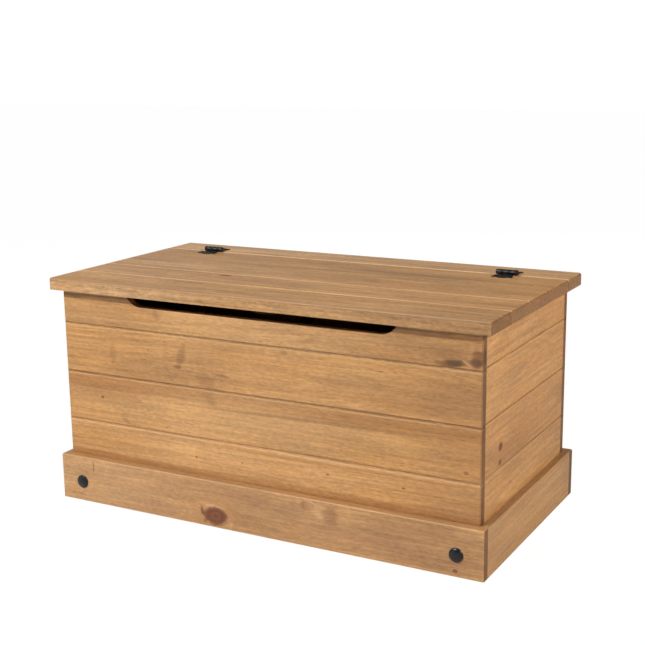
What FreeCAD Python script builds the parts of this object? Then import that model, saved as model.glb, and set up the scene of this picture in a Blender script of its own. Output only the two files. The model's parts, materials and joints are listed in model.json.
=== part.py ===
import FreeCAD, Part
import math
import os
import re
import Sketcher
from FreeCAD import Placement, Rotation, Vector

# Pine toy box: boarded walls on corner posts, a butt-jointed skirt round the foot, a boarded lid on
# two butterfly hinges, and a telescopic stay on each side that slows the lid.
# X is the width, -Y the front, +Z up. The origin is on the floor, under the middle of the lid.

doc = FreeCAD.newDocument("toyBox")

# Driving dimensions in millimetres, angles in degrees.
sizes = {
    "lidWidth": 904,
    "lidDepth": 472,
    "lidTop": 443,
    "lidThick": 23,
    "lidRound": 5,
    "lidEase": 4,
    "lidGroove": 2.5,
    "lidSeamFront": -145,
    "lidSeamMiddle": -57,
    "lidSeamRear": 25,
    "lidBack": 156,
    "railFront": 158,
    "railBack": 239,
    "bodyWidth": 864,
    "bodyFront": 220,
    "bodyBack": 216,
    "boardThick": 16,
    "boardPitch": 96,
    "boardFoot": 15,
    "frontSeam": 163.5,
    "sideSeam": 166.5,
    "seamBevel": 2,
    "tongueThick": 5,
    "tongueHigh": 6,
    "tonguePlay": 0.2,
    "slotHalf": 285.5,
    "slotFloor": 398.8,
    "slotRound": 38,
    "skirtWidth": 892,
    "skirtHigh": 90,
    "skirtThick": 16,
    "skirtEase": 3,
    "studX": 396,
    "studZ": 39,
    "studRadius": 13,
    "studDome": 5,
    "studShank": 50,
    "postSide": 24,
    "postEase": 3,
    "wallPlay": 0.5,
    "baseThick": 9,
    "baseTop": 67,
    "cleatSide": 20,
    "battenWide": 44,
    "battenThick": 18,
    "battenFront": 185,
    "battenBack": 125,
    "hingeX": 332,
    "hingeY": 157,
    "hingeLong": 42,
    "knuckleRadius": 5,
    "knuckleHalf": 7,
    "knuckleGap": 0.2,
    "leafThick": 1.8,
    "leafNeck": 14,
    "leafTip": 21,
    "leafReach": 31,
    "leafLobe": 11,
    "hingePin": 2,
    "pinPlay": 0.05,
    "stayX": 402,
    "stayRadius": 150,
    "stayLidAngle": 18,
    "stayWallAngle": 85,
    "tubeRadius": 7,
    "tubeBore": 5.6,
    "tubeLong": 148,
    "rodRadius": 3,
    "rodLong": 151.6,
    "pistonLong": 4,
    "stayPlay": 0.2,
    "eyeThick": 5,
    "eyeRadius": 7,
    "pivotRadius": 3,
    "plateThick": 2.5,
    "frameScrewLong": 34,
    "frameScrewRadius": 2,
    "hingeScrewLong": 16,
    "hingeScrewRadius": 1.7,
    "stayScrewLong": 14,
    "stayScrewRadius": 1.7,
    "dowelRadius": 4,
    "dowelLong": 30,
}
sheet = doc.addObject("Spreadsheet::Sheet", "dims")
for row, (alias, value) in enumerate(sizes.items(), 1):
    sheet.set("A%d" % row, alias)
    sheet.set("B%d" % row, str(value))
    sheet.setAlias("B%d" % row, alias)
doc.recompute()

nodes = []


def bind(thing, path, formula):
    words = re.sub(r"[A-Za-z]\w*", lambda word: "dims." + word[0] if word[0] in sizes else word[0], formula)
    thing.setExpression(path, words)


def place(thing, across="0", back="0", up="0"):
    for axis, formula in zip("xyz", (across, back, up)):
        bind(thing, "Placement.Base." + axis, formula)


def turned(thing, axis, angle):
    thing.Placement = Placement(Vector(), Rotation(Vector(*axis), angle))


def newBody(label):
    body = doc.addObject("PartDesign::Body", "Body")
    body.Label = label
    nodes.append(body)
    return body


# Sketches: every vertex and centre is held from the sketch's origin, so a sketch is fully constrained.

def newSketch(body, plane, offset=None):
    sketch = body.newObject("Sketcher::SketchObject", "Sketch")
    flat = [item for item in body.Origin.OriginFeatures if item.Role == plane][0]
    sketch.AttachmentSupport = (flat, [""])
    sketch.MapMode = "FlatFace"
    if offset:
        bind(sketch, "AttachmentOffset.Base.z", offset)
    return sketch


def hold(sketch, part, point, across, up, start):
    ways = (("DistanceX", across, -2, start.x), ("DistanceY", up, -1, start.y))
    for way, formula, axis, value in ways:
        if formula == "0":
            sketch.addConstraint(Sketcher.Constraint("PointOnObject", part, point, axis))
            continue
        index = sketch.addConstraint(Sketcher.Constraint(way, -1, 1, part, point, value))
        name = "%s%d" % (way, index)
        sketch.renameConstraint(index, name)
        bind(sketch, "Constraints." + name, formula)


def outline(body, plane, corners, offset=None):
    sketch = newSketch(body, plane, offset)
    count = len(corners)
    turn = 2 * math.pi / count
    rough = [Vector(50 * math.cos(turn * n + 0.1), 50 * math.sin(turn * n + 0.1), 0) for n in range(count)]
    for n in range(count):
        sketch.addGeometry(Part.LineSegment(rough[n], rough[(n + 1) % count]))
    for n in range(count):
        sketch.addConstraint(Sketcher.Constraint("Coincident", n, 2, (n + 1) % count, 1))
    for n, (across, up) in enumerate(corners):
        hold(sketch, n, 1, across, up, rough[n])
    return sketch


def rectangle(body, plane, wide, high, left="0", low="0", offset=None):
    right = wide if left == "0" else "%s + %s" % (left, wide)
    top = high if low == "0" else "%s + %s" % (low, high)
    return outline(body, plane, [(left, low), (right, low), (right, top), (left, top)], offset)


def circle(body, plane, radius, across="0", up="0", offset=None):
    sketch = newSketch(body, plane, offset)
    centre = Vector(5, 5, 0)
    sketch.addGeometry(Part.Circle(centre, Vector(0, 0, 1), 3))
    hold(sketch, 0, 3, across, up, centre)
    index = sketch.addConstraint(Sketcher.Constraint("Radius", 0, 3))
    sketch.renameConstraint(index, "radius")
    bind(sketch, "Constraints.radius", radius)
    return sketch


# Features

def extrude(kind, body, sketch, length, reverse=False, both=False):
    before = body.Shape.Volume if kind == "Pocket" else 0
    feature = body.newObject("PartDesign::" + kind, kind)
    feature.Profile = sketch
    feature.SideType = "Symmetric" if both else "One side"
    feature.Reversed = reverse
    bind(feature, "Length", length)
    doc.recompute()
    if kind == "Pocket" and body.Shape.Volume > before - 1e-3:
        raise ValueError(body.Label + ": a pocket cut nothing")
    return feature


def revolve(body, sketch, axis):
    feature = body.newObject("PartDesign::Revolution", "Revolution")
    feature.Profile = sketch
    feature.ReferenceAxis = (sketch, [axis])
    feature.Angle = 360
    doc.recompute()
    return feature


def edgesOn(feature, sides, never=()):
    # Names of the edges that lie in all the named sides of the shape's box, and in none of the others.
    whole = feature.Shape.BoundBox

    def lies(edge, side):
        axis, end = side[0].upper(), side[1:].capitalize()
        level = getattr(whole, axis + end)
        low, high = getattr(edge.BoundBox, axis + "Min"), getattr(edge.BoundBox, axis + "Max")
        return abs(low - level) < 1e-3 and abs(high - level) < 1e-3

    return ["Edge%d" % n for n, edge in enumerate(feature.Shape.Edges, 1)
            if all(lies(edge, side) for side in sides) and not any(lies(edge, side) for side in never)]


def dress(kind, body, feature, edges, amount):
    trim = body.newObject("PartDesign::" + kind, kind)
    trim.Base = (feature, edges)
    bind(trim, "Radius" if kind == "Fillet" else "Size", amount)
    doc.recompute()
    return trim


# Walls: four tongued boards high. Each is drawn in section, outer face at y = 0, and run along its length.

def wallBoard(label, length, high, foot, crown):
    body = newBody(label)
    bevel = "seamBevel"
    middle = "boardThick / 2"
    section = [("0", "0")] if foot else [(bevel, "0"), ("0", bevel)]
    section += [("0", high)] if crown else [("0", high + " - " + bevel), (bevel, high)]
    if not crown:
        section += [(middle + " - tongueThick / 2", high),
                    (middle + " - tongueThick / 2", high + " + tongueHigh"),
                    (middle + " + tongueThick / 2", high + " + tongueHigh"),
                    (middle + " + tongueThick / 2", high)]
    section += [("boardThick", high), ("boardThick", "0")]
    if not foot:
        section += [(middle + " + tongueThick / 2 + tonguePlay", "0"),
                    (middle + " + tongueThick / 2 + tonguePlay", "tongueHigh + tonguePlay"),
                    (middle + " - tongueThick / 2 - tonguePlay", "tongueHigh + tonguePlay"),
                    (middle + " - tongueThick / 2 - tonguePlay", "0")]
    plank = extrude("Pad", body, outline(body, "YZ_Plane", section), length)
    ends = edgesOn(plank, ["ymin", "xmin"]) + edgesOn(plank, ["ymin", "xmax"])
    dress("Chamfer", body, plank, ends, "seamBevel")
    return body


def wall(name, length, seam, turn, across, back):
    rows = [
        ("bottom", "boardFoot", seam + " - boardFoot"),
        ("lower", seam, "boardPitch"),
        ("upper", seam + " + boardPitch", "boardPitch"),
        ("top", seam + " + 2 * boardPitch", "lidTop - lidThick - %s - 2 * boardPitch" % seam),
    ]
    boards = {}
    for row, low, high in rows:
        board = wallBoard("%s_board_%s" % (name, row), length, high, row == "bottom", row == "top")
        turned(board, (0, 0, 1), turn)
        place(board, across, back, low)
        boards[row] = board
    return boards


sideLength = "bodyFront + bodyBack - 2 * boardThick"
frontWall = wall("front", "bodyWidth", "frontSeam", 0, "-bodyWidth / 2", "-bodyFront")
wall("back", "bodyWidth", "frontSeam", 180, "bodyWidth / 2", "bodyBack")
wall("right", sideLength, "sideSeam", 90, "bodyWidth / 2", "-bodyFront + boardThick")
wall("left", sideLength, "sideSeam", -90, "-bodyWidth / 2", "bodyBack - boardThick")

# The finger slot is cut down from the front wall's upper edge, with a large round at each end.
slot = doc.addObject("Part::Box", "slotBlock")
bind(slot, "Length", "2 * slotHalf")
bind(slot, "Width", "3 * boardThick")
bind(slot, "Height", "2 * slotRound")
place(slot, "-slotHalf", "-bodyFront - boardThick", "slotFloor")
doc.recompute()
slotRound = doc.addObject("Part::Fillet", "slotRound")
slotRound.Base = slot
slotEdges = edgesOn(slot, ["zmin", "xmin"]) + edgesOn(slot, ["zmin", "xmax"])
slotRound.Edges = [(int(name[4:]), sizes["slotRound"], sizes["slotRound"]) for name in slotEdges]
slotted = doc.addObject("Part::Cut", "slottedBoard")
slotted.Base = frontWall["top"]
slotted.Tool = slotRound
nodes[nodes.index(frontWall["top"])] = slotted
frontWall["top"].Label = "front_board_blank"
slotted.Label = "front_board_top"


# Plain squared stock: posts, cleats, base, skirt, battens

def block(label, wide, deep, high):
    body = newBody(label)
    return body, extrude("Pad", body, rectangle(body, "XY_Plane", wide, deep), high)


wallTop = "lidTop - lidThick"
insideX = "bodyWidth / 2 - boardThick"
for end, near, nearFace in (("front", "-bodyFront + boardThick", "ymax"), ("back", "bodyBack - boardThick", "ymin")):
    for side, sideFace in (("left", "xmax"), ("right", "xmin")):
        body, stock = block("corner_post_%s_%s" % (end, side), "postSide", "postSide", wallTop + " - 1 - boardFoot")
        dress("Chamfer", body, stock, edgesOn(stock, [nearFace, sideFace]), "postEase")
        place(body, "-(%s)" % insideX if side == "left" else insideX + " - postSide",
              near if end == "front" else near + " - postSide", "boardFoot")

# The base is one sheet, notched round the posts, lying on a cleat at the front and one at the back.
halfBase = "(bodyWidth / 2 - boardThick - wallPlay)"
frontBase = "(-bodyFront + boardThick + wallPlay)"
backBase = "(bodyBack - boardThick - wallPlay)"
notchX = "(bodyWidth / 2 - boardThick - postSide - wallPlay)"
notchFront = frontBase + " + postSide"
notchBack = backBase + " - postSide"
base = newBody("base_panel")
half = [(halfBase, notchFront), (halfBase, notchBack), (notchX, notchBack), (notchX, backBase)]
rest = [(notchX, frontBase), (notchX, notchFront)]
mirror = [("-" + across, back) for across, back in reversed(rest + half)]
extrude("Pad", base, outline(base, "XY_Plane", rest + half + mirror), "baseThick")
place(base, up="baseTop - baseThick")

cleatLong = "bodyWidth - 2 * boardThick - 2 * postSide - 4"
for end, back in (("front", "-bodyFront + boardThick"), ("back", "bodyBack - boardThick - cleatSide")):
    body, stock = block("base_cleat_" + end, cleatLong, "cleatSide", "cleatSide")
    place(body, "-(%s) / 2" % cleatLong, back, "baseTop - baseThick - cleatSide")

# Skirt: the front and back boards run the full width and cover the ends of the side boards.
backSkirt = "(lidDepth / 2 - bodyBack)"
skirtEnds = (("front", "skirtThick", "-lidDepth / 2", "ymin"), ("back", backSkirt, "bodyBack", "ymax"))
for end, thick, back, face in skirtEnds:
    body, stock = block("skirt_" + end, "skirtWidth", thick, "skirtHigh")
    upright = edgesOn(stock, [face, "xmin"]) + edgesOn(stock, [face, "xmax"])
    rounded = dress("Fillet", body, stock, upright, "skirtEase")
    inner = "ymax" if face == "ymin" else "ymin"
    dress("Fillet", body, rounded, edgesOn(rounded, ["zmax"], [inner]), "skirtEase")
    place(body, "-skirtWidth / 2", back)
for side, across, face in (("left", "-skirtWidth / 2", "xmin"), ("right", "bodyWidth / 2", "xmax")):
    body, stock = block("skirt_" + side, "skirtWidth / 2 - bodyWidth / 2",
                        "bodyFront + bodyBack", "skirtHigh")
    dress("Fillet", body, stock, edgesOn(stock, ["zmax", face]), "skirtEase")
    place(body, across, "-bodyFront")

# Low domed studs on the front skirt: each is the head of a bolt that runs back into the corner post.
for side, sign in (("left", "-"), ("right", "")):
    body = newBody("skirt_stud_" + side)
    head = extrude("Pad", body, circle(body, "XZ_Plane", "studRadius"), "studDome")
    dome = dress("Fillet", body, head, edgesOn(head, ["ymin"]), "studDome - 1")
    shank = circle(body, "XZ_Plane", "frameScrewRadius + 1")
    extrude("Pad", body, shank, "studShank", reverse=True)
    place(body, sign + "studX", "-lidDepth / 2", "studZ")


# Top: four lid boards and the fixed rail behind them share one outline

def topBoard(label, front, back, grooved, outer=None):
    # grooved names the joints that show from above, outer the long side that has no neighbour
    body, stock = block(label, "lidWidth", "%s - (%s)" % (back, front), "lidThick")
    if outer:
        corners = edgesOn(stock, [outer, "xmin"]) + edgesOn(stock, [outer, "xmax"])
        stock = dress("Fillet", body, stock, corners, "lidRound")
    bevels = [edge for side in grooved for edge in edgesOn(stock, ["zmax", side])]
    stock = dress("Chamfer", body, stock, bevels, "lidGroove")
    openSides = ["xmin", "xmax"] + ([outer] if outer else [])
    dress("Fillet", body, stock, [edge for side in openSides for edge in edgesOn(stock, ["zmax", side])], "lidEase")
    place(body, "-lidWidth / 2", front, "lidTop - lidThick")


topBoard("lid_board_front", "-lidDepth / 2", "lidSeamFront", ["ymax"], outer="ymin")
topBoard("lid_board_front_middle", "lidSeamFront", "lidSeamMiddle", ["ymin", "ymax"])
topBoard("lid_board_rear_middle", "lidSeamMiddle", "lidSeamRear", ["ymin"])
topBoard("lid_board_rear", "lidSeamRear", "lidBack", ["ymax"])
topBoard("rear_rail", "railFront", "railBack", ["ymin"], outer="ymax")

for name, middle in (("left", "-hingeX"), ("centre", "0"), ("right", "hingeX")):
    body, stock = block("lid_batten_" + name, "battenWide", "battenFront + battenBack", "battenThick")
    under = edgesOn(stock, ["zmin"])
    dress("Chamfer", body, stock, under, "postEase")
    place(body, middle + " - battenWide / 2", "-battenFront", "lidTop - lidThick - battenThick")


# Butterfly hinges: drawn with the pin along X, on the face of the lid, then set at each side.

leafHoles = (("-leafNeck", "leafReach - 7"), ("leafNeck", "leafReach - 7"), ("0", "leafReach / 2 - 2"))


def leaf(label, sign, middle):
    # sign is "" for the leaf behind the pin and "-" for the one in front of it
    body = newBody(label)
    near = "knuckleRadius + 0.4"

    def out(formula):
        return "%s(%s)" % (sign, formula)

    tips = [("leafTip", out("leafReach")), ("leafNeck", out("9"))]
    if middle:
        neck = [("leafNeck", out(near)), ("knuckleHalf - knuckleGap", out(near)), ("knuckleHalf - knuckleGap", "0")]
    else:
        neck = [("leafNeck", "0")]
    half = tips + neck
    other = [("-(%s)" % across, back) for across, back in reversed(half)]
    plate = extrude("Pad", body, outline(body, "XY_Plane", half + other), "leafThick")
    extrude("Pad", body, circle(body, "XY_Plane", "leafLobe", "0", out("leafReach - leafLobe / 2")), "leafThick")
    for edge in ("", "-"):
        scallop = circle(body, "XY_Plane", "leafLobe / 3", edge + "leafTip * 0.62", out("leafReach + 2"))
        extrude("Pocket", body, scallop, "4 * leafThick", both=True)
    knuckle = circle(body, "YZ_Plane", "knuckleRadius", "0", "knuckleRadius")
    if middle:
        extrude("Pad", body, knuckle, "2 * (knuckleHalf - knuckleGap)", both=True)
    else:
        extrude("Pad", body, knuckle, "hingeLong", both=True)
        clear = circle(body, "YZ_Plane", "knuckleRadius + 0.3", "0", "knuckleRadius")
        extrude("Pocket", body, clear, "2 * knuckleHalf", both=True)
    bore = circle(body, "YZ_Plane", "hingePin + pinPlay", "0", "knuckleRadius")
    extrude("Pocket", body, bore, "2 * hingeLong", both=True)
    for across, back in leafHoles:
        hole = circle(body, "XY_Plane", "hingeScrewRadius + 0.3", across, out(back))
        extrude("Pocket", body, hole, "4 * leafThick", both=True)
    return body


hingeSides = (("left", "-"), ("right", ""))
for side, sign in hingeSides:
    fixed = leaf("hinge_%s_rail_leaf" % side, "", False)
    moving = leaf("hinge_%s_lid_leaf" % side, "-", True)
    pin = newBody("hinge_%s_pin" % side)
    half = "hingeLong / 2"
    cap = [(half + " + 0.2", "hingePin"), (half + " + 0.2", "hingePin + 1.2"),
           (half + " + 0.8", "hingePin + 1.2"), (half + " + 1.8", "hingePin"), (half + " + 1.8", "0")]
    otherCap = [("-(%s)" % across, up) for across, up in reversed(cap)]
    revolve(pin, outline(pin, "XZ_Plane", cap + otherCap), "H_Axis")
    place(fixed, sign + "hingeX", "hingeY", "lidTop")
    place(moving, sign + "hingeX", "hingeY", "lidTop")
    place(pin, sign + "hingeX", "hingeY", "lidTop + knuckleRadius")

# Lid stays. Both pivots of a stay are at stayRadius from the lid's hinge axis, at the two stay angles below
# the horizontal, so its tube and its rod always turn by exactly half of the lid's own angle.
stayMiddle = "(stayLidAngle + stayWallAngle) / 2"
closedLong = "2 * stayRadius * sin((stayWallAngle - stayLidAngle) / 2)"
lidPivot = ("hingeY - stayRadius * cos(stayLidAngle)",
            "lidTop + knuckleRadius - stayRadius * sin(stayLidAngle)")
wallPivot = ("hingeY - stayRadius * cos(stayWallAngle)",
             "lidTop + knuckleRadius - stayRadius * sin(stayWallAngle)")
plateFoot = "bodyWidth / 2 - boardThick - stayX"
lidFoot = "stayRadius * sin(stayLidAngle) - knuckleRadius - lidThick"


def tilt(body):
    turned(body, (1, 0, 0), 45)
    bind(body, "Placement.Rotation.Angle", stayMiddle)


for side, sign in hingeSides:
    turn = 180 if side == "left" else 0

    tube = newBody("stay_cylinder_" + side)
    revolve(tube, outline(tube, "XZ_Plane", [
        ("0", "10"), ("tubeRadius", "10"), ("tubeRadius", "tubeLong"), ("rodRadius + stayPlay", "tubeLong"),
        ("rodRadius + stayPlay", "tubeLong - 4"), ("tubeBore", "tubeLong - 4"), ("tubeBore", "13"), ("0", "13")]),
        "V_Axis")
    extrude("Pad", tube, circle(tube, "YZ_Plane", "eyeRadius"), "eyeThick", both=True)
    extrude("Pad", tube, rectangle(tube, "YZ_Plane", "9", "11", "-4.5", "0.1"), "eyeThick", both=True)
    tubeHole = circle(tube, "YZ_Plane", "pivotRadius + pinPlay")
    extrude("Pocket", tube, tubeHole, "3 * eyeThick", both=True)
    tilt(tube)
    place(tube, sign + "stayX", *wallPivot)

    rod = newBody("stay_rod_" + side)
    revolve(rod, outline(rod, "XZ_Plane", [
        ("0", "-5"), ("rodRadius", "-5"), ("rodRadius", "-(rodLong - pistonLong)"),
        ("tubeBore - stayPlay", "-(rodLong - pistonLong)"), ("tubeBore - stayPlay", "-rodLong"), ("0", "-rodLong")]),
        "V_Axis")
    extrude("Pad", rod, circle(rod, "YZ_Plane", "eyeRadius - 1"), "eyeThick", both=True)
    rodHole = circle(rod, "YZ_Plane", "pivotRadius + pinPlay")
    extrude("Pocket", rod, rodHole, "3 * eyeThick", both=True)
    tilt(rod)
    place(rod, sign + "stayX", *lidPivot)

    # A riveted pivot pin with a head on the inner side of the eye and a collar on the outer side
    grip = "rodRadius + 0.4"
    wallBracket = newBody("stay_wall_bracket_" + side)
    revolve(wallBracket, outline(wallBracket, "XZ_Plane", [
        ("-(%s + 1.8)" % grip, "0"), ("-(%s + 1.8)" % grip, "5"), ("-(%s)" % grip, "5"),
        ("-(%s)" % grip, "pivotRadius"), (grip, "pivotRadius"), (grip, "6"),
        (plateFoot + " - 1", "6"), (plateFoot + " - 1", "0")]), "H_Axis")
    extrude("Pad", wallBracket, rectangle(wallBracket, "YZ_Plane", "24", "44", "-12", "-22",
                                          offset=plateFoot + " - plateThick"), "plateThick")
    for up in ("-15", "15"):
        hole = circle(wallBracket, "YZ_Plane", "stayScrewRadius + 0.3", "0", up)
        extrude("Pocket", wallBracket, hole, "4 * stayX", both=True)
    turned(wallBracket, (0, 0, 1), turn)
    place(wallBracket, sign + "stayX", *wallPivot)

    lidBracket = newBody("stay_lid_bracket_" + side)
    revolve(lidBracket, outline(lidBracket, "XZ_Plane", [
        ("-(%s + 1.8)" % grip, "0"), ("-(%s + 1.8)" % grip, "5"), ("-(%s)" % grip, "5"),
        ("-(%s)" % grip, "pivotRadius"), (grip + " + 1", "pivotRadius"), (grip + " + 1", "0")]), "H_Axis")
    extrude("Pad", lidBracket, circle(lidBracket, "YZ_Plane", "eyeRadius", offset=grip), "plateThick")
    extrude("Pad", lidBracket, rectangle(lidBracket, "YZ_Plane", "14", lidFoot + " - 0.1", "-7", "0.1",
                                         offset=grip), "plateThick")
    extrude("Pad", lidBracket, rectangle(lidBracket, "XY_Plane", "20", "46", "-10", "-23",
                                         offset=lidFoot + " - plateThick"), "plateThick")
    for back in ("-17", "17"):
        hole = circle(lidBracket, "XY_Plane", "stayScrewRadius + 0.3", "0", back)
        extrude("Pocket", lidBracket, hole, "4 * stayRadius", both=True)
    turned(lidBracket, (0, 0, 1), turn)
    place(lidBracket, sign + "stayX", *lidPivot)

doc.recompute()


# Fasteners: one master of each kind, copied to every place where it is driven.

def master(label, corners):
    body = doc.addObject("PartDesign::Body", "Body")
    body.Label = label
    revolve(body, outline(body, "XZ_Plane", corners), "V_Axis")
    return body.Shape


def screwOutline(radius, length):
    # dome head above z = 0, pointed shank below it
    return [("0", "1.1 * " + radius), (radius, "0.95 * " + radius), ("1.7 * " + radius, "0.5 * " + radius),
            ("2 * " + radius, "0"), (radius, "0"), (radius, "2 * %s - %s" % (radius, length)), ("0", "-" + length)]


frameScrew = master("frameScrewMaster", screwOutline("frameScrewRadius", "frameScrewLong"))
hingeScrew = master("hingeScrewMaster", screwOutline("hingeScrewRadius", "hingeScrewLong"))
stayScrew = master("stayScrewMaster", screwOutline("stayScrewRadius", "stayScrewLong"))
dowel = master("dowelMaster", [("0", "0"), ("dowelRadius", "0"), ("dowelRadius", "dowelLong"), ("0", "dowelLong")])

towards = {
    "down": Rotation(),
    "up": Rotation(Vector(1, 0, 0), 180),
    "front": Rotation(Vector(1, 0, 0), -90),
    "back": Rotation(Vector(1, 0, 0), 90),
    "right": Rotation(Vector(0, 1, 0), -90),
    "left": Rotation(Vector(0, 1, 0), 90),
}


def driven(label, shape, places):
    group = doc.addObject("Part::Feature", "Group")
    group.Label = label
    group.Shape = Part.makeCompound([
        shape.transformed(Placement(Vector(*spot), towards[way]).toMatrix(), True) for spot, way in places])
    group.Placement = Placement()
    nodes.append(group)


def size(alias):
    return float(getattr(sheet, alias))


# Four boards high: one screw from each post into each board, and four through each cleat
wallFront = size("bodyFront") - size("boardThick")
wallBack = size("bodyBack") - size("boardThick")
wallSide = size("bodyWidth") / 2 - size("boardThick")
post = size("postSide")
wallHigh = size("lidTop") - size("lidThick")


def boardMiddles(seam):
    levels = [size("baseTop") + 10] + [seam + size("boardPitch") * row for row in range(3)] + [wallHigh]
    return [(low + high) / 2 for low, high in zip(levels, levels[1:])]


places = []
for sign, outward in ((-1, "left"), (1, "right")):
    for level in boardMiddles(size("frontSeam")):
        places.append(((sign * (wallSide - post / 2), -wallFront + post, level + 8), "front"))
        places.append(((sign * (wallSide - post / 2), wallBack - post, level + 8), "back"))
    for level in boardMiddles(size("sideSeam")):
        places.append(((sign * (wallSide - post), -wallFront + post / 2, level - 8), outward))
        places.append(((sign * (wallSide - post), wallBack - post / 2, level - 8), outward))
cleatLevel = size("baseTop") - size("baseThick") - size("cleatSide") / 2
for share in (-0.4, -0.13, 0.13, 0.4):
    across = share * size("bodyWidth")
    places.append(((across, -wallFront + size("cleatSide"), cleatLevel), "front"))
    places.append(((across, wallBack - size("cleatSide"), cleatLevel), "back"))
driven("frame_screws", frameScrew, places)

boardMids = [(-size("battenFront") + size("lidSeamFront")) / 2,
             (size("lidSeamFront") + size("lidSeamMiddle")) / 2,
             (size("lidSeamMiddle") + size("lidSeamRear")) / 2,
             (size("lidSeamRear") + size("battenBack")) / 2 + 10]
places = [((across, back, wallHigh - size("battenThick")), "up")
          for across in (-size("hingeX"), 0, size("hingeX")) for back in boardMids]
driven("batten_screws", frameScrew, places)

dowelMiddle = (size("bodyBack") + wallBack) / 2
places = [((share * size("bodyWidth"), dowelMiddle, wallHigh - size("dowelLong") / 2), "down")
          for share in (-0.42, -0.14, 0.14, 0.42)]
driven("rail_dowels", dowel, places)

holes = ((-size("leafNeck"), size("leafReach") - 7), (size("leafNeck"), size("leafReach") - 7),
         (0, size("leafReach") / 2 - 2))
for label, way in (("hinge_rail_screws", 1), ("hinge_lid_screws", -1)):
    places = [((side * size("hingeX") + across, size("hingeY") + way * back, size("lidTop") + size("leafThick")),
               "down") for side in (-1, 1) for across, back in holes]
    driven(label, hingeScrew, places)


def stayPivot(alias):
    angle = math.radians(size(alias))
    back = size("hingeY") - size("stayRadius") * math.cos(angle)
    return back, size("lidTop") + size("knuckleRadius") - size("stayRadius") * math.sin(angle)


wallY, wallZ = stayPivot("stayWallAngle")
lidY, lidZ = stayPivot("stayLidAngle")
places = [((sign * (wallSide - size("plateThick")), wallY, wallZ + up), outward)
          for sign, outward in ((-1, "left"), (1, "right")) for up in (-15, 15)]
driven("stay_wall_screws", stayScrew, places)
places = [((sign * size("stayX"), lidY + back, wallHigh - size("plateThick")), "up")
          for sign in (-1, 1) for back in (-17, 17)]
driven("stay_lid_screws", stayScrew, places)

# Checks, then one file for each node
doc.recompute()
for thing in doc.Objects:
    if "Invalid" in thing.State or "Error" in thing.State:
        raise ValueError("%s (%s) failed" % (thing.Name, thing.Label))
for node in nodes:
    if node.Shape.isNull() or not node.Shape.isValid():
        raise ValueError(node.Label + " has no valid shape")
    if not node.Shape.Solids:
        raise ValueError(node.Label + " holds no solid")
os.makedirs("parts", exist_ok=True)
for node in nodes:
    node.Shape.exportStep("parts/%s.step" % node.Label)
print(len(nodes), "nodes,", sum(len(node.Shape.Solids) for node in nodes), "solids")
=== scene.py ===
import json
import math

import bmesh
import bpy
from mathutils import Matrix, Vector

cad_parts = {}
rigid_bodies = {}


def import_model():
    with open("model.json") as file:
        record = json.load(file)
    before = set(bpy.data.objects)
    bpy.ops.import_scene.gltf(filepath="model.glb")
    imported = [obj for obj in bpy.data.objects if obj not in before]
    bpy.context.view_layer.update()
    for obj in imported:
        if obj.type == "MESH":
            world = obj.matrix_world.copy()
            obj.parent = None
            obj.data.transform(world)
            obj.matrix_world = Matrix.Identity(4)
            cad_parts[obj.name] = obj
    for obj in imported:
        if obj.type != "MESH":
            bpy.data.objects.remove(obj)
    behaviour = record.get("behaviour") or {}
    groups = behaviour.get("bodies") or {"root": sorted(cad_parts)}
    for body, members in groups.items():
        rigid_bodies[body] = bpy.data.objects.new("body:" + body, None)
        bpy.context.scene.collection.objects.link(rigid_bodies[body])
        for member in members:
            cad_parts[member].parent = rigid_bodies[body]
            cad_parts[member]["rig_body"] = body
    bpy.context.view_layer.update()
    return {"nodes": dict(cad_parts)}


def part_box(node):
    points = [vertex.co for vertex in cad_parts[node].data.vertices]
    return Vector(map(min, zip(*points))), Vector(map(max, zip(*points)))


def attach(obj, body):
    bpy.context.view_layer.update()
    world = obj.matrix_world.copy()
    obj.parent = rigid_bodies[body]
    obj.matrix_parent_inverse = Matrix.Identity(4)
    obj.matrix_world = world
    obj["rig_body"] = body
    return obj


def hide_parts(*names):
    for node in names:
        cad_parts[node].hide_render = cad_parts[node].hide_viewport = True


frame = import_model()
scene = bpy.context.scene


# Helpers for shader nodes

def feed(tree, value, socket):
    if isinstance(value, bpy.types.NodeSocket):
        tree.links.new(value, socket)
    else:
        socket.default_value = value


def addNode(tree, kind, inputs=None, **settings):
    made = tree.nodes.new("ShaderNode" + kind)
    for setting, value in settings.items():
        setattr(made, setting, value)
    for where, value in (inputs or {}).items():
        feed(tree, value, made.inputs[where])
    return made


def calc(tree, operation, first, second=0.5, third=0.5):
    return addNode(tree, "Math", {0: first, 1: second, 2: third}, operation=operation).outputs[0]


def plus(tree, first, second):
    return calc(tree, "ADD", first, second)


def minus(tree, first, second):
    return calc(tree, "SUBTRACT", first, second)


def times(tree, first, second):
    return calc(tree, "MULTIPLY", first, second)


def over(tree, first, second):
    return calc(tree, "DIVIDE", first, second)


def tripled(tree, value):
    return addNode(tree, "CombineXYZ", {0: value, 1: value, 2: value}).outputs[0]


def vectorCalc(tree, operation, first, second=(0, 0, 0)):
    made = addNode(tree, "VectorMath", {0: first, 1: second}, operation=operation)
    return made.outputs["Value"] if operation in ("LENGTH", "DISTANCE") else made.outputs[0]


def soften(tree, value, start, stop, low=0.0, high=1.0):
    return addNode(tree, "MapRange", {0: value, 1: start, 2: stop, 3: low, 4: high},
                   interpolation_type="SMOOTHSTEP").outputs[0]


def noise(tree, vector, scale=1.0, detail=2.0, rough=0.5, output=0):
    return addNode(tree, "TexNoise", {"Vector": vector, "Scale": scale, "Detail": detail,
                                      "Roughness": rough}).outputs[output]


def stretched(tree, vector, along, across, deep=None):
    return vectorCalc(tree, "MULTIPLY", vector, (along, across, across if deep is None else deep))


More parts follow.
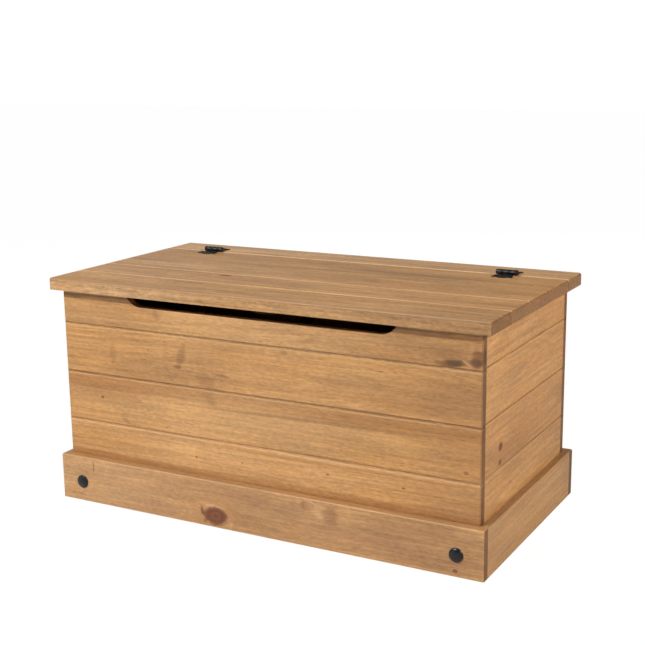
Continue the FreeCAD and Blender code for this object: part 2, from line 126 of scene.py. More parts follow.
def mixColour(tree, amount, first, second, blend="MIX"):
    sockets = {0: amount, 6: first, 7: second}
    return addNode(tree, "Mix", sockets, data_type="RGBA", blend_type=blend).outputs[2]


def rgb(red, green, blue):
    return (red, green, blue, 1.0)


def newGroup(title, takes, gives):
    tree = bpy.data.node_groups.new(title, "ShaderNodeTree")
    for label, start in takes.items():
        kind = "Vector" if isinstance(start, tuple) else "Float"
        socket = tree.interface.new_socket(label, in_out="INPUT", socket_type="NodeSocket" + kind)
        socket.default_value = start
    for label in gives:
        kind = "Vector" if label == "Vector" else "Float"
        tree.interface.new_socket(label, in_out="OUTPUT", socket_type="NodeSocket" + kind)
    return tree, tree.nodes.new("NodeGroupInput").outputs, tree.nodes.new("NodeGroupOutput").inputs


def blankMaterial(title):
    material = bpy.data.materials.new(title)
    material.use_nodes = True
    material.node_tree.nodes.clear()
    return material, material.node_tree


def sendOut(tree, shader):
    tree.links.new(shader.outputs[0], addNode(tree, "OutputMaterial").inputs[0])


def useGroup(tree, group, **inputs):
    made = addNode(tree, "Group", node_tree=group)
    for label, value in inputs.items():
        feed(tree, value, made.inputs[label])
    return made.outputs


# Effects shared by several materials

def makePineRings():
    # growth rings about a pith that runs along the board, wandering slowly from end to end
    tree, given, out = newGroup("pineRings", {
        "Vector": (0.0, 0.0, 0.0), "Pith": (0.0, 0.0, 0.0), "Ring Width": 0.004, "Wander": 0.02, "Seed": 0.0,
    }, ["Late", "Tone"])
    shifted = vectorCalc(tree, "ADD", given["Vector"], tripled(tree, given["Seed"]))
    slow = noise(tree, stretched(tree, shifted, 1.7, 8), detail=1.5)
    quick = noise(tree, stretched(tree, shifted, 9, 60), detail=2)
    away = vectorCalc(tree, "SUBTRACT", given["Vector"], given["Pith"])
    radius = vectorCalc(tree, "LENGTH", vectorCalc(tree, "MULTIPLY", away, (0, 1, 1)))
    slowPart = times(tree, minus(tree, slow, 0.5), given["Wander"])
    quickPart = times(tree, minus(tree, quick, 0.5), times(tree, given["Wander"], 0.1))
    radius = plus(tree, radius, plus(tree, slowPart, quickPart))
    rings = over(tree, radius, given["Ring Width"])
    place = calc(tree, "FRACT", rings)
    rise = soften(tree, place, 0.30, 0.88)
    fall = soften(tree, place, 0.92, 1.0, 1.0, 0.0)
    number = plus(tree, calc(tree, "FLOOR", rings), given["Seed"])
    strong = addNode(tree, "TexWhiteNoise", {"W": number}, noise_dimensions="1D").outputs[0]
    late = times(tree, times(tree, rise, fall), calc(tree, "MULTIPLY_ADD", strong, 0.7, 0.3))
    tree.links.new(late, out["Late"])
    spread = plus(tree, times(tree, radius, 55), given["Seed"])
    wide = addNode(tree, "TexNoise", {"W": spread, "Detail": 1.0}, noise_dimensions="1D").outputs[0]
    tree.links.new(soften(tree, wide, 0.3, 0.7), out["Tone"])
    return tree


def makeKnotFlow():
    # the grain parts round a knot, as water does round a post
    tree, given, out = newGroup("knotFlow", {
        "Vector": (0.0, 0.0, 0.0), "Along": 0.0, "Across": 0.0, "Size": 0.012, "Stretch": 1.3,
    }, ["Vector", "Core", "Rim", "Halo"])
    split = addNode(tree, "SeparateXYZ", {0: given["Vector"]}).outputs
    wobble = minus(tree, noise(tree, given["Vector"], 120, 2), 0.5)
    du = over(tree, minus(tree, split[0], given["Along"]), given["Stretch"])
    dv = minus(tree, split[1], given["Across"])
    reach = calc(tree, "SQRT", plus(tree, times(tree, du, du), times(tree, dv, dv)))
    far = plus(tree, over(tree, reach, given["Size"]), times(tree, wobble, 0.35))
    outside = calc(tree, "MAXIMUM", far, 1.0)
    keep = minus(tree, 1.0, over(tree, 1.0, times(tree, outside, outside)))
    v = plus(tree, given["Across"], times(tree, dv, keep))
    tree.links.new(addNode(tree, "CombineXYZ", {0: split[0], 1: v, 2: split[2]}).outputs[0], out["Vector"])
    rings = calc(tree, "MULTIPLY_ADD", calc(tree, "SINE", times(tree, far, 13.0)), 0.05, 0.95)
    core = soften(tree, far, 0.84, 1.0, 1.0, 0.0)
    tree.links.new(times(tree, core, rings), out["Core"])
    broken = soften(tree, noise(tree, given["Vector"], 70, 1), 0.35, 0.6, 0.35, 1.0)
    rim = times(tree, soften(tree, far, 0.8, 0.96), soften(tree, far, 1.0, 1.15, 1.0, 0.0))
    tree.links.new(times(tree, rim, broken), out["Rim"])
    tree.links.new(soften(tree, far, 0.9, 2.8, 1.0, 0.0), out["Halo"])
    return tree


def makePineFibre():
    # everything that streaks, speckles or clouds a board along its grain
    tree, given, out = newGroup("pineFibre", {"Vector": (0.0, 0.0, 0.0), "Seed": 0.0},
                                ["Streak", "Fine", "Speck", "Dash", "Mottle", "Cloud", "Veil"])
    shifted = vectorCalc(tree, "ADD", given["Vector"], tripled(tree, given["Seed"]))
    tree.links.new(noise(tree, stretched(tree, shifted, 5, 170), detail=3, rough=0.6), out["Streak"])
    tree.links.new(noise(tree, stretched(tree, shifted, 28, 900), detail=2), out["Fine"])
    tree.links.new(noise(tree, stretched(tree, shifted, 90, 260), detail=3, rough=0.65), out["Speck"])
    dashes = noise(tree, stretched(tree, shifted, 75, 520), detail=1)
    patchy = soften(tree, noise(tree, stretched(tree, shifted, 6, 14), detail=1), 0.4, 0.65)
    tree.links.new(times(tree, soften(tree, dashes, 0.66, 0.76), patchy), out["Dash"])
    mottle = noise(tree, stretched(tree, shifted, 3.2, 9.5), detail=2.5)
    tree.links.new(soften(tree, mottle, 0.3, 0.7), out["Mottle"])
    elsewhere = vectorCalc(tree, "ADD", shifted, (7.0, 3.0, 5.0))
    cloud = noise(tree, stretched(tree, elsewhere, 11, 34), detail=3, rough=0.6)
    tree.links.new(soften(tree, cloud, 0.35, 0.7), out["Cloud"])
    veil = noise(tree, stretched(tree, elsewhere, 4.5, 13), detail=2)
    tree.links.new(soften(tree, veil, 0.42, 0.66), out["Veil"])
    return tree


def makeSoftPatch():
    # an oval blotch with a ragged edge
    tree, given, out = newGroup("softPatch", {
        "Vector": (0.0, 0.0, 0.0), "Along": 0.0, "Across": 0.0, "Long": 0.05, "Wide": 0.01, "Turn": 0.0,
        "Edge": 0.35,
    }, ["Mask"])
    middle = addNode(tree, "CombineXYZ", {0: given["Along"], 1: given["Across"]}).outputs[0]
    away = vectorCalc(tree, "MULTIPLY", vectorCalc(tree, "SUBTRACT", given["Vector"], middle), (1, 1, 0))
    turned = addNode(tree, "VectorRotate", {"Vector": away, "Angle": given["Turn"]},
                     rotation_type="Z_AXIS").outputs[0]
    size = addNode(tree, "CombineXYZ", {0: given["Long"], 1: given["Wide"], 2: 1.0}).outputs[0]
    reach = vectorCalc(tree, "LENGTH", vectorCalc(tree, "DIVIDE", turned, size))
    wobble = minus(tree, noise(tree, stretched(tree, given["Vector"], 30, 150), detail=2), 0.5)
    reach = plus(tree, reach, times(tree, wobble, 0.7))
    tree.links.new(soften(tree, reach, given["Edge"], 1.0, 1.0, 0.0), out["Mask"])
    return tree


def makeHeartBand():
    # darker heartwood between two lines across the board
    tree, given, out = newGroup("heartBand", {
        "Vector": (0.0, 0.0, 0.0), "From": 0.0, "To": 0.02, "Soft": 0.004, "Wave": 0.012, "Seed": 0.0,
    }, ["Mask"])
    shifted = vectorCalc(tree, "ADD", given["Vector"], tripled(tree, given["Seed"]))
    wave = minus(tree, noise(tree, stretched(tree, shifted, 3.5, 10), detail=2), 0.5)
    across = addNode(tree, "SeparateXYZ", {0: given["Vector"]}).outputs[1]
    across = plus(tree, across, times(tree, wave, given["Wave"]))
    above = over(tree, minus(tree, across, given["From"]), given["Soft"])
    below = over(tree, minus(tree, given["To"], across), given["Soft"])
    above, below = (soften(tree, side, 0.0, 1.0) for side in (above, below))
    tree.links.new(times(tree, above, below), out["Mask"])
    return tree


def makeSeamLines():
    # dust with painted shade in the joint at a board's lower edge, and a pale lip at its upper edge, rubbed
    # wear with a painted highlight
    tree, given, out = newGroup("seamLines", {
        "Vector": (0.0, 0.0, 0.0), "Foot": 0.0, "Crown": 1.0,
    }, ["Gap", "Lip"])
    across = addNode(tree, "SeparateXYZ", {0: given["Vector"]}).outputs[1]
    grit = noise(tree, stretched(tree, given["Vector"], 55, 20), detail=3, rough=0.6)
    wide = calc(tree, "MULTIPLY_ADD", soften(tree, grit, 0.35, 0.65), 0.0018, 0.0012)
    fromFoot = minus(tree, across, given["Foot"])
    fromCrown = minus(tree, given["Crown"], across)
    low = soften(tree, over(tree, fromFoot, wide), 0.2, 0.7, 0.8, 0.0)
    high = soften(tree, over(tree, fromCrown, wide), 0.6, 1.2, 1.0, 0.0)
    tree.links.new(calc(tree, "MAXIMUM", low, high), out["Gap"])
    lip = times(tree, soften(tree, fromCrown, 0.0020, 0.0034),
                soften(tree, fromCrown, 0.0046, 0.0068, 1.0, 0.0))
    tree.links.new(times(tree, lip, soften(tree, grit, 0.3, 0.6, 0.4, 1.0)), out["Lip"])
    return tree


def makeArrisWear():
    # distance from a board's nearest arris, broken up so that it isn't even; it gives wear, and on the lid
    # painted highlight and painted shade
    tree, given, out = newGroup("arrisWear", {
        "Vector": (0.0, 0.0, 0.0), "Low": (-1.0, -1.0, -1.0), "High": (1.0, 1.0, 1.0), "Width": 0.003,
    }, ["Wear"])
    fromLow = vectorCalc(tree, "SUBTRACT", given["Vector"], given["Low"])
    fromHigh = vectorCalc(tree, "SUBTRACT", given["High"], given["Vector"])
    fromLow, fromHigh = (addNode(tree, "SeparateXYZ", {0: gap}).outputs for gap in (fromLow, fromHigh))
    x, y, z = (calc(tree, "MINIMUM", fromLow[axis], fromHigh[axis]) for axis in range(3))
    nearest = calc(tree, "MINIMUM", calc(tree, "MAXIMUM", x, y), calc(tree, "MAXIMUM", y, z))
    second = calc(tree, "MINIMUM", nearest, calc(tree, "MAXIMUM", x, z))
    uneven = calc(tree, "MULTIPLY_ADD", noise(tree, given["Vector"], 45, 3), 1.4, 0.3)
    tree.links.new(soften(tree, over(tree, second, times(tree, given["Width"], uneven)),
                          0.0, 1.0, 1.0, 0.0), out["Wear"])
    return tree


def makeWaxCoat():
    # how the wax lies: brushed along the grain, thumbed here and there, with a few small dents
    tree, given, out = newGroup("waxCoat", {"Vector": (0.0, 0.0, 0.0), "Rough": 0.45, "Spread": 0.12},
                                ["Roughness", "Dent"])
    brushed = noise(tree, stretched(tree, given["Vector"], 4, 60), detail=3)
    rubbed = noise(tree, given["Vector"], 9, 2)
    both = plus(tree, times(tree, brushed, 0.6), times(tree, rubbed, 0.4))
    level = times(tree, minus(tree, both, 0.5), given["Spread"])
    tree.links.new(plus(tree, given["Rough"], level), out["Roughness"])
    cells = addNode(tree, "TexVoronoi", {"Vector": given["Vector"], "Scale": 34.0})
    rare = soften(tree, addNode(tree, "SeparateXYZ", {0: cells.outputs["Color"]}).outputs[0], 0.86, 0.9)
    pit = soften(tree, cells.outputs["Distance"], 0.0, 0.12, -1.0, 0.0)
    tree.links.new(times(tree, pit, rare), out["Dent"])
    return tree


def makePlanished():
    # hammer facets and rubbed high spots on black iron
    tree, given, out = newGroup("planished", {
        "Vector": (0.0, 0.0, 0.0), "Scale": 300.0,
    }, ["Height", "Rubbed"])
    facets = {"Vector": given["Vector"], "Scale": given["Scale"], "Smoothness": 0.6}
    cells = addNode(tree, "TexVoronoi", facets, feature="SMOOTH_F1")
    tree.links.new(minus(tree, 1.0, cells.outputs["Distance"]), out["Height"])
    grit = noise(tree, given["Vector"], 900, 3)
    tree.links.new(times(tree, soften(tree, cells.outputs["Distance"], 0.5, 0.1),
                        soften(tree, grit, 0.5, 0.7)), out["Rubbed"])
    return tree


pineRings = makePineRings()
knotFlow = makeKnotFlow()
pineFibre = makePineFibre()
softPatch = makeSoftPatch()
heartBand = makeHeartBand()
seamLines = makeSeamLines()
arrisWear = makeArrisWear()
waxCoat = makeWaxCoat()
planished = makePlanished()
print("shared shader groups made")


# Pine: knots are (along, across, size, stretch, dark), patches (along, across, long, wide, turn, amount,
# colour), and heart bands (from, to, amount), in metres and degrees

pineColours = {
    "pale": rgb(0.665, 0.380, 0.158),
    "tan": rgb(0.500, 0.262, 0.098),
    "amber": rgb(0.600, 0.305, 0.100),
    "late": rgb(0.390, 0.172, 0.050),
    "heart": rgb(0.400, 0.190, 0.065),
    "veil": rgb(0.400, 0.225, 0.100),
    "lip": rgb(0.760, 0.480, 0.240),
    "gap": rgb(0.110, 0.060, 0.030),
    "pink": rgb(0.440, 0.225, 0.105),
    "rose": rgb(0.640, 0.360, 0.175),
    "dusk": rgb(0.300, 0.150, 0.065),
    "dash": rgb(0.230, 0.095, 0.034),
    "knot": rgb(0.150, 0.038, 0.015),
    "knotRim": rgb(0.075, 0.024, 0.012),
    "knotHalo": rgb(0.560, 0.240, 0.075),
    "endGrain": rgb(0.500, 0.440, 0.420),
}
# which object axis runs along the grain, across the face, and into the board
grainAxes = {"wallX": (0, 2, 1), "wallY": (1, 2, 0), "lid": (0, 1, 2), "batten": (1, 0, 2), "post": (2, 0, 1)}
plainPine = {
    "grain": "wallX", "seed": 0.0, "pith": (0.0, 0.05), "ring": 0.0038, "wander": 0.05, "lateAmount": 0.26,
    "tint": (1.0, 1.0, 1.0), "streak": 0.36, "speck": 0.38, "dash": 0.70, "cloud": 0.50, "veil": 0.45,
    "heart": (), "knots": (), "patches": (), "joints": (), "seam": (), "edges": (), "ledge": 0.0,
    "gap": 0.5, "lip": 0.5, "rim": 0.5, "rough": 0.48, "coat": 0.06, "endTint": (0.76, 0.68, 0.54),
}
pineWeights = {
    "mottle": 0.55, "tone": 0.45, "halo": 0.30, "core": 0.92, "fineBump": 0.35, "ringBump": 0.25,
    "joint": 0.8, "jointWide": 0.0018, "jointTall": 0.62, "edge": 0.18, "edgeWide": 0.0035,
}


def paint(tree, colour, mask, amount, name):
    return mixColour(tree, times(tree, mask, amount), colour, pineColours[name])


def tinted(tree, colour, tint):
    return mixColour(tree, 1.0, colour, tint, "MULTIPLY")


def swing(tree, value, amount):
    # how far a noise is from its middle
    return times(tree, minus(tree, value, 0.5), amount)


def dressPine(nodeName, **changes):
    look = {**plainPine, **changes}
    low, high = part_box(nodeName)
    middle = (low + high) / 2
    order = grainAxes[look["grain"]]
    material, tree = blankMaterial("pine_" + nodeName)
    coords = addNode(tree, "TexCoord").outputs
    axes = addNode(tree, "SeparateXYZ", {0: coords["Object"]}).outputs
    fixed = addNode(tree, "CombineXYZ", {spot: axes[axis] for spot, axis in enumerate(order)}).outputs[0]
    facing = addNode(tree, "SeparateXYZ", {0: coords["Normal"]}).outputs
    vector, knots = fixed, []
    for along, across, size, stretch, dark in look["knots"]:
        knot = useGroup(tree, knotFlow, Vector=vector, Along=along, Across=across, Size=size, Stretch=stretch)
        vector = knot["Vector"]
        knots.append((knot, dark))
    pith = (0.0, middle[order[1]] + look["pith"][0], middle[order[2]] + look["pith"][1])
    rings = useGroup(tree, pineRings, Vector=vector, Pith=pith, Wander=look["wander"], Seed=look["seed"],
                     **{"Ring Width": look["ring"]})
    fibre = useGroup(tree, pineFibre, Vector=vector, Seed=look["seed"])

    # the wood itself, from its ground colour to the blotches on it; some blotches are painted shade and
    # painted light
    ground = plus(tree, times(tree, fibre["Mottle"], pineWeights["mottle"]),
                  times(tree, rings["Tone"], pineWeights["tone"]))
    colour = mixColour(tree, ground, pineColours["pale"], pineColours["tan"])
    colour = paint(tree, colour, fibre["Cloud"], look["cloud"], "amber")
    colour = paint(tree, colour, fibre["Veil"], look["veil"], "veil")
    for start, stop, amount in look["heart"]:
        band = useGroup(tree, heartBand, Vector=vector, From=start, To=stop, Seed=look["seed"])
        colour = paint(tree, colour, band["Mask"], amount, "heart")
    colour = paint(tree, colour, rings["Late"], look["lateAmount"], "late")
    for along, across, long, wide, turn, amount, name in look["patches"]:
        patch = useGroup(tree, softPatch, Vector=fixed, Along=along, Across=across, Long=long, Wide=wide,
                         Turn=math.radians(turn))
        colour = paint(tree, colour, patch["Mask"], amount, name)
    stripe = plus(tree, swing(tree, fibre["Streak"], look["streak"] * 2),
                  swing(tree, fibre["Fine"], look["streak"]))
    speckle = swing(tree, fibre["Speck"], look["speck"] * 2)
    level = plus(tree, plus(tree, stripe, speckle), 1.0)
    colour = tinted(tree, colour, tripled(tree, level))
    colour = paint(tree, colour, fibre["Dash"], look["dash"], "dash")
    for knot, dark in knots:
        colour = paint(tree, colour, knot["Halo"], pineWeights["halo"] * dark, "knotHalo")
        colour = paint(tree, colour, knot["Core"], pineWeights["core"] * dark, "knot")
        colour = paint(tree, colour, knot["Rim"], look["rim"] * dark, "knotRim")

    # joints, rubbed arrises and dust, with painted highlight and painted shade along seams and lid edges and
    # on up-facing faces
    for along, lowEnd, highEnd in look["joints"]:
        line = useGroup(tree, softPatch, Vector=fixed, Along=along, Across=(lowEnd + highEnd) / 2,
                        Long=pineWeights["jointWide"], Wide=(highEnd - lowEnd) * pineWeights["jointTall"])
        colour = paint(tree, colour, line["Mask"], pineWeights["joint"], "dash")
    ownEdges = [(tuple(low), tuple(high), pineWeights["edgeWide"], pineWeights["edge"], "pale")]
    for edgeLow, edgeHigh, width, amount, name in look["edges"] or ownEdges:
        edgeWearAndLight = useGroup(tree, arrisWear, Vector=coords["Object"], Low=edgeLow, High=edgeHigh, Width=width)
        colour = paint(tree, colour, edgeWearAndLight["Wear"], amount, name)
    if look["seam"]:
        seam = useGroup(tree, seamLines, Vector=fixed, Foot=look["seam"][0], Crown=look["seam"][1])
        # the lip is rubbed wear with a painted highlight; the joint line is dust with painted shade
        colour = paint(tree, colour, seam["Lip"], look["lip"], "lip")
        colour = paint(tree, colour, seam["Gap"], look["gap"], "gap")
    # painted shade on faces that look up: the slot floor and the skirt ledge
    if look["ledge"]:
        colour = paint(tree, colour, soften(tree, facing[2], 0.7, 0.95), look["ledge"], "gap")

    # end grain is darker than the faces
    endFace = soften(tree, calc(tree, "ABSOLUTE", facing[order[0]]), 0.6, 0.85)
    endColour = tinted(tree, tinted(tree, colour, pineColours["endGrain"]), rgb(*look["endTint"]))
    colour = tinted(tree, mixColour(tree, endFace, colour, endColour), rgb(*look["tint"]))
    wax = useGroup(tree, waxCoat, Vector=vector, Rough=look["rough"])
    height = plus(tree, times(tree, fibre["Fine"], pineWeights["fineBump"]),
                  times(tree, rings["Late"], pineWeights["ringBump"]))
    height = plus(tree, height, wax["Dent"])
    bump = addNode(tree, "Bump", {"Strength": 0.5, "Distance": 0.0005, "Height": height}).outputs[0]
    sendOut(tree, addNode(tree, "BsdfPrincipled", {
        "Base Color": colour, "Roughness": wax["Roughness"], "Normal": bump, "Coat Weight": look["coat"],
        "Coat Roughness": 0.35, "IOR": 1.45,
    }))
    wearMaterial(frame["nodes"][nodeName], material)


def wearMaterial(thing, material):
    thing.data.materials.clear()
    thing.data.materials.append(material)


frontWall = {
    "front_board_top": dict(
        # this board's up-facing faces, the slot floor, get painted shade
        seed=1.3, pith=(0.012, 0.045), tint=(1.02, 1.0, 0.97), ledge=0.85, patches=[
            (0.0, 0.4160, 3.0, 0.0085, 0, 0.62, "gap"),  # painted shadow: a dark band just under the lid
            # the next three patches are painted light: shade at the right end, a lighter middle, shade at the
            # left end
            (0.350, 0.388, 0.130, 0.050, 0, 0.26, "dusk"),
            (0.000, 0.380, 0.320, 0.080, 0, 0.24, "lip"),
            (-0.340, 0.388, 0.180, 0.050, 0, 0.30, "veil"),
            (-0.214, 0.389, 0.016, 0.010, 70, 0.45, "dusk"),
            (-0.252, 0.384, 0.060, 0.012, 25, 0.45, "amber"),
            (0.107, 0.372, 0.030, 0.006, -10, 0.35, "heart"),
            (0.250, 0.366, 0.120, 0.010, 2, 0.30, "heart"),
            (0.384, 0.372, 0.048, 0.017, 6, 0.60, "dusk"), (0.382, 0.3635, 0.030, 0.0085, -3, 0.95, "gap"),
            (0.362, 0.3610, 0.022, 0.0060, 12, 0.60, "dash"), (0.423, 0.376, 0.017, 0.022, 20, 0.85, "dash"),
            (0.422, 0.368, 0.014, 0.012, 0, 0.70, "gap"), (0.404, 0.366, 0.012, 0.0030, 35, 0.35, "lip")]),
    "front_board_upper": dict(
        seed=4.6, pith=(-0.020, 0.05), tint=(1.0, 0.97, 0.92), patches=[
            # the first patch is painted shade at the right end, and the lip patch below is a painted lighter
            # middle
            (0.400, 0.300, 0.120, 0.060, 0, 0.38, "dusk"), (0.000, 0.278, 0.420, 0.008, -1, 0.40, "heart"),
            (0.000, 0.305, 0.300, 0.100, 0, 0.12, "lip"),
            (-0.160, 0.316, 0.030, 0.012, -72, 0.62, "dusk"),
            (-0.168, 0.2945, 0.014, 0.005, 4, 0.70, "dash"),
            (-0.104, 0.274, 0.034, 0.018, 30, 0.42, "dusk"),
            (-0.072, 0.289, 0.026, 0.004, 4, 0.60, "dash"),
            (-0.318, 0.304, 0.009, 0.026, 0, 0.40, "dusk"),
            (0.060, 0.347, 0.012, 0.006, 0, 0.50, "dusk"),
            (0.300, 0.280, 0.140, 0.016, 2, 0.35, "heart")]),
    "front_board_lower": dict(
        seed=7.9, pith=(0.010, 0.06), heart=[(0.229, 0.275, 0.70)], tint=(1.03, 1.0, 0.94), patches=[
            # painted shade at the right end and a painted lighter middle
            (0.400, 0.215, 0.120, 0.070, 0, 0.28, "dusk"), (-0.030, 0.205, 0.340, 0.080, 0, 0.26, "lip"),
            (-0.100, 0.243, 0.024, 0.014, 40, 0.42, "dusk"),
            (-0.291, 0.173, 0.016, 0.006, 20, 0.45, "dusk"),
            (0.120, 0.2285, 0.330, 0.0045, -1, 0.50, "dusk")],
        knots=[(-0.348, 0.214, 0.0028, 1.3, 0.8), (0.406, 0.179, 0.0035, 1.4, 0.6)]),
    "front_board_bottom": dict(
        seed=2.2, pith=(-0.012, 0.055), heart=[(0.060, 0.105, 0.62)], tint=(1.05, 1.01, 0.95),
        gap=0.28, lip=0.85,
        patches=[
            # the dusk patch is painted shade at the right end, and the lip patch below is a painted lighter
            # middle
            (-0.300, 0.125, 0.160, 0.024, 0, 0.45, "amber"), (0.400, 0.120, 0.120, 0.060, 0, 0.24, "dusk"),
            (-0.030, 0.128, 0.360, 0.050, 0, 0.22, "lip"), (0.190, 0.1525, 0.330, 0.0035, 0, 0.50, "heart")],
        knots=[(-0.133, 0.125, 0.0015, 1.6, 0.9), (-0.032, 0.129, 0.0013, 1.8, 0.6),
               (0.145, 0.135, 0.0016, 2.0, 0.8), (0.292, 0.134, 0.0018, 2.0, 0.7)]),
}
tongueHigh = 0.006


def wallSeam(nodeName):
    low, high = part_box(nodeName)
    return low.z, high.z if nodeName.endswith("top") else high.z - tongueHigh


for nodeName, look in frontWall.items():
    dressPine(nodeName, seam=wallSeam(nodeName), **look)

rightWall = {
    "right_board_top": dict(seed=11.2, pith=(0.0, -0.05), tint=(1.05, 1.0, 0.92)),
    "right_board_upper": dict(seed=12.7, pith=(0.01, -0.055), tint=(1.03, 0.98, 0.90)),
    "right_board_lower": dict(seed=13.1, pith=(-0.01, -0.05), tint=(0.94, 0.86, 0.78), rim=0.8,
                              knots=[(-0.132, 0.203, 0.0070, 1.3, 0.95), (-0.133, 0.177, 0.0055, 1.3, 0.90)]),
    "right_board_bottom": dict(seed=14.9, pith=(0.012, -0.06), tint=(1.02, 0.96, 0.90)),
}
for nodeName, look in rightWall.items():
    dressPine(nodeName, grain="wallY", seam=wallSeam(nodeName), gap=0.22, lip=0.30, **look)

hiddenWalls = {
    "back_board_top": dict(seed=21.4, pith=(0.010, -0.05), knots=[(0.210, 0.385, 0.010, 1.3, 0.9)]),
    "back_board_upper": dict(seed=22.8, pith=(-0.015, -0.055), knots=[(-0.130, 0.300, 0.012, 1.25, 0.9)]),
    "back_board_lower": dict(seed=23.5, pith=(0.008, -0.05), knots=[(0.055, 0.205, 0.006, 1.4, 0.8)]),
    "back_board_bottom": dict(seed=24.1, pith=(-0.006, -0.06), heart=[(0.06, 0.104, 0.4)]),
    "left_board_top": dict(grain="wallY", seed=31.6, pith=(0.0, 0.05)),
    "left_board_upper": dict(grain="wallY", seed=32.3, pith=(0.01, 0.05),
                             knots=[(0.060, 0.310, 0.009, 1.3, 0.9)]),
    "left_board_lower": dict(grain="wallY", seed=33.9, pith=(-0.012, 0.055)),
    "left_board_bottom": dict(grain="wallY", seed=34.7, pith=(0.01, 0.05), heart=[(0.05, 0.098, 0.4)]),
}
for nodeName, look in hiddenWalls.items():
    dressPine(nodeName, tint=(1.03, 0.98, 0.92), seam=wallSeam(nodeName), **look)

skirts = {
    "skirt_front": dict(
        seed=41.5, pith=(0.004, 0.045), dash=0.85, cloud=0.2, rim=0.55, joints=[(-0.3675, 0.058, 0.088)],
        knots=[
            (-0.084, 0.022, 0.0170, 1.5, 1.0), (0.394, 0.010, 0.0035, 1.4, 0.8),
            (0.112, 0.076, 0.0080, 1.8, 0.25)],
        patches=[
            (-0.1130, 0.028, 0.0055, 0.013, -12, 0.90, "knotRim"),
            (-0.1060, 0.011, 0.0055, 0.010, 35, 0.80, "dash"),
            (-0.088, 0.041, 0.034, 0.006, 4, 0.60, "lip"), (-0.055, 0.012, 0.012, 0.014, 20, 0.45, "lip"),
            (-0.215, 0.022, 0.075, 0.018, 8, 0.50, "pink"), (-0.010, 0.064, 0.075, 0.016, 4, 0.50, "pink"),
            (0.075, 0.060, 0.050, 0.022, -18, 0.50, "veil"), (0.158, 0.062, 0.022, 0.030, 14, 0.60, "dusk"),
            (0.128, 0.070, 0.030, 0.010, 40, 0.45, "lip"), (0.240, 0.030, 0.220, 0.022, 3, 0.35, "pink"),
            # painted shade at the right end and painted light at the left end
            (0.340, 0.045, 0.190, 0.070, 0, 0.34, "dusk"), (-0.340, 0.050, 0.200, 0.070, 0, 0.20, "lip")]),
    "skirt_right": dict(grain="wallY", seed=42.4, pith=(0.0, -0.045), cloud=0.3),
    "skirt_back": dict(seed=43.8, pith=(0.006, -0.045), cloud=0.3, knots=[(0.240, 0.050, 0.011, 1.3, 0.9)]),
    "skirt_left": dict(grain="wallY", seed=44.2, pith=(-0.004, 0.045), cloud=0.3),
}
for nodeName, look in skirts.items():
    # the skirt tops get painted shade where they face up
    dressPine(nodeName, tint=(0.99, 1.0, 1.08), ledge=0.30, **look)

lidTint = (0.98, 0.97, 0.99)
lidBoards = {
    "lid_board_front": dict(
        shows="back", seed=51.9, pith=(0.01, -0.06), cloud=0.35, rough=0.52, coat=0.05,
        tint=(0.92, 0.93, 0.98),
        patches=[
            (0.180, -0.172, 0.240, 0.010, 0, 0.55, "pink"), (0.320, -0.235, 0.220, 0.006, 0, 0.28, "dusk"),
            (-0.250, -0.190, 0.160, 0.010, 1, 0.35, "rose"), (-0.280, -0.2385, 0.320, 0.0045, 0, 0.50, "lip"),
            (0.030, -0.205, 0.240, 0.018, 0, 0.40, "pink"), (-0.100, -0.222, 0.180, 0.007, 1, 0.35, "veil"),
            (0.330, -0.195, 0.140, 0.014, 0, 0.35, "veil")]),
    "lid_board_front_middle": dict(
        shows="both", seed=52.5, pith=(-0.01, -0.055), cloud=0.3, knots=[(-0.152, -0.074, 0.0065, 2.2, 0.8)],
        patches=[
            (-0.300, -0.110, 0.160, 0.007, 1, 0.35, "pink"), (0.060, -0.098, 0.260, 0.007, 0, 0.45, "pink"),
            (0.240, -0.128, 0.200, 0.009, 0, 0.35, "rose")]),
    "lid_board_rear_middle": dict(
        shows="front", seed=53.3, pith=(0.008, -0.05), cloud=0.35,
        patches=[
            (-0.028, -0.045, 0.160, 0.012, 0, 0.30, "rose"), (-0.413, 0.017, 0.060, 0.005, 0, 0.65, "dusk"),
            (0.200, -0.010, 0.200, 0.014, 0, 0.45, "heart"), (-0.320, -0.015, 0.200, 0.030, 0, 0.45, "lip"),
            (0.060, 0.012, 0.180, 0.008, 0, 0.50, "pink"), (0.330, -0.038, 0.110, 0.009, 0, 0.55, "pink")]),
    "lid_board_rear": dict(
        shows="back", seed=54.7, pith=(0.0, -0.06), cloud=0.4,
        patches=[
            (-0.165, 0.049, 0.160, 0.010, 1, 0.50, "heart"), (0.180, 0.085, 0.260, 0.022, -1, 0.60, "dusk"),
            (0.000, 0.060, 0.250, 0.012, 0, 0.45, "heart"), (-0.020, 0.118, 0.280, 0.008, 0, 0.40, "pink"),
            (-0.330, 0.080, 0.110, 0.020, 0, 0.30, "rose")]),
    # the bluish tint is a painted sheen
    "rear_rail": dict(shows="front", seed=55.1, pith=(0.006, -0.05), cloud=0.2, tint=(1.10, 1.18, 1.42)),
}
farOff = 9.0  # an edge this far away never shows


def lidEdges(nodeName, shows):
    # the joints that show are painted pale, rubbed wear with a painted highlight, and the front arris gets
    # painted shade that dulls its highlight
    low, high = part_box(nodeName)
    near = low.y if shows in ("front", "both") else -farOff
    far = high.y if shows in ("back", "both") else farOff
    # painted highlight along the joints, with rubbed wear
    edges = [((-farOff, near, -farOff), (farOff, far, high.z), 0.006, 0.60, "lip")]
    if nodeName == "lid_board_front":
        # painted shade dulling the highlight on the front arris
        edges.append(((-farOff, low.y, -farOff), (farOff, farOff, high.z), 0.008, 0.90, "veil"))
    return edges


plainLid = {"grain": "lid", "tint": lidTint, "rough": 0.44, "coat": 0.14, "endTint": (1.12, 1.10, 0.90),
            "streak": 0.60, "speck": 0.52}
for nodeName, look in lidBoards.items():
    look["edges"] = lidEdges(nodeName, look.pop("shows"))
    dressPine(nodeName, **{**plainLid, **look})

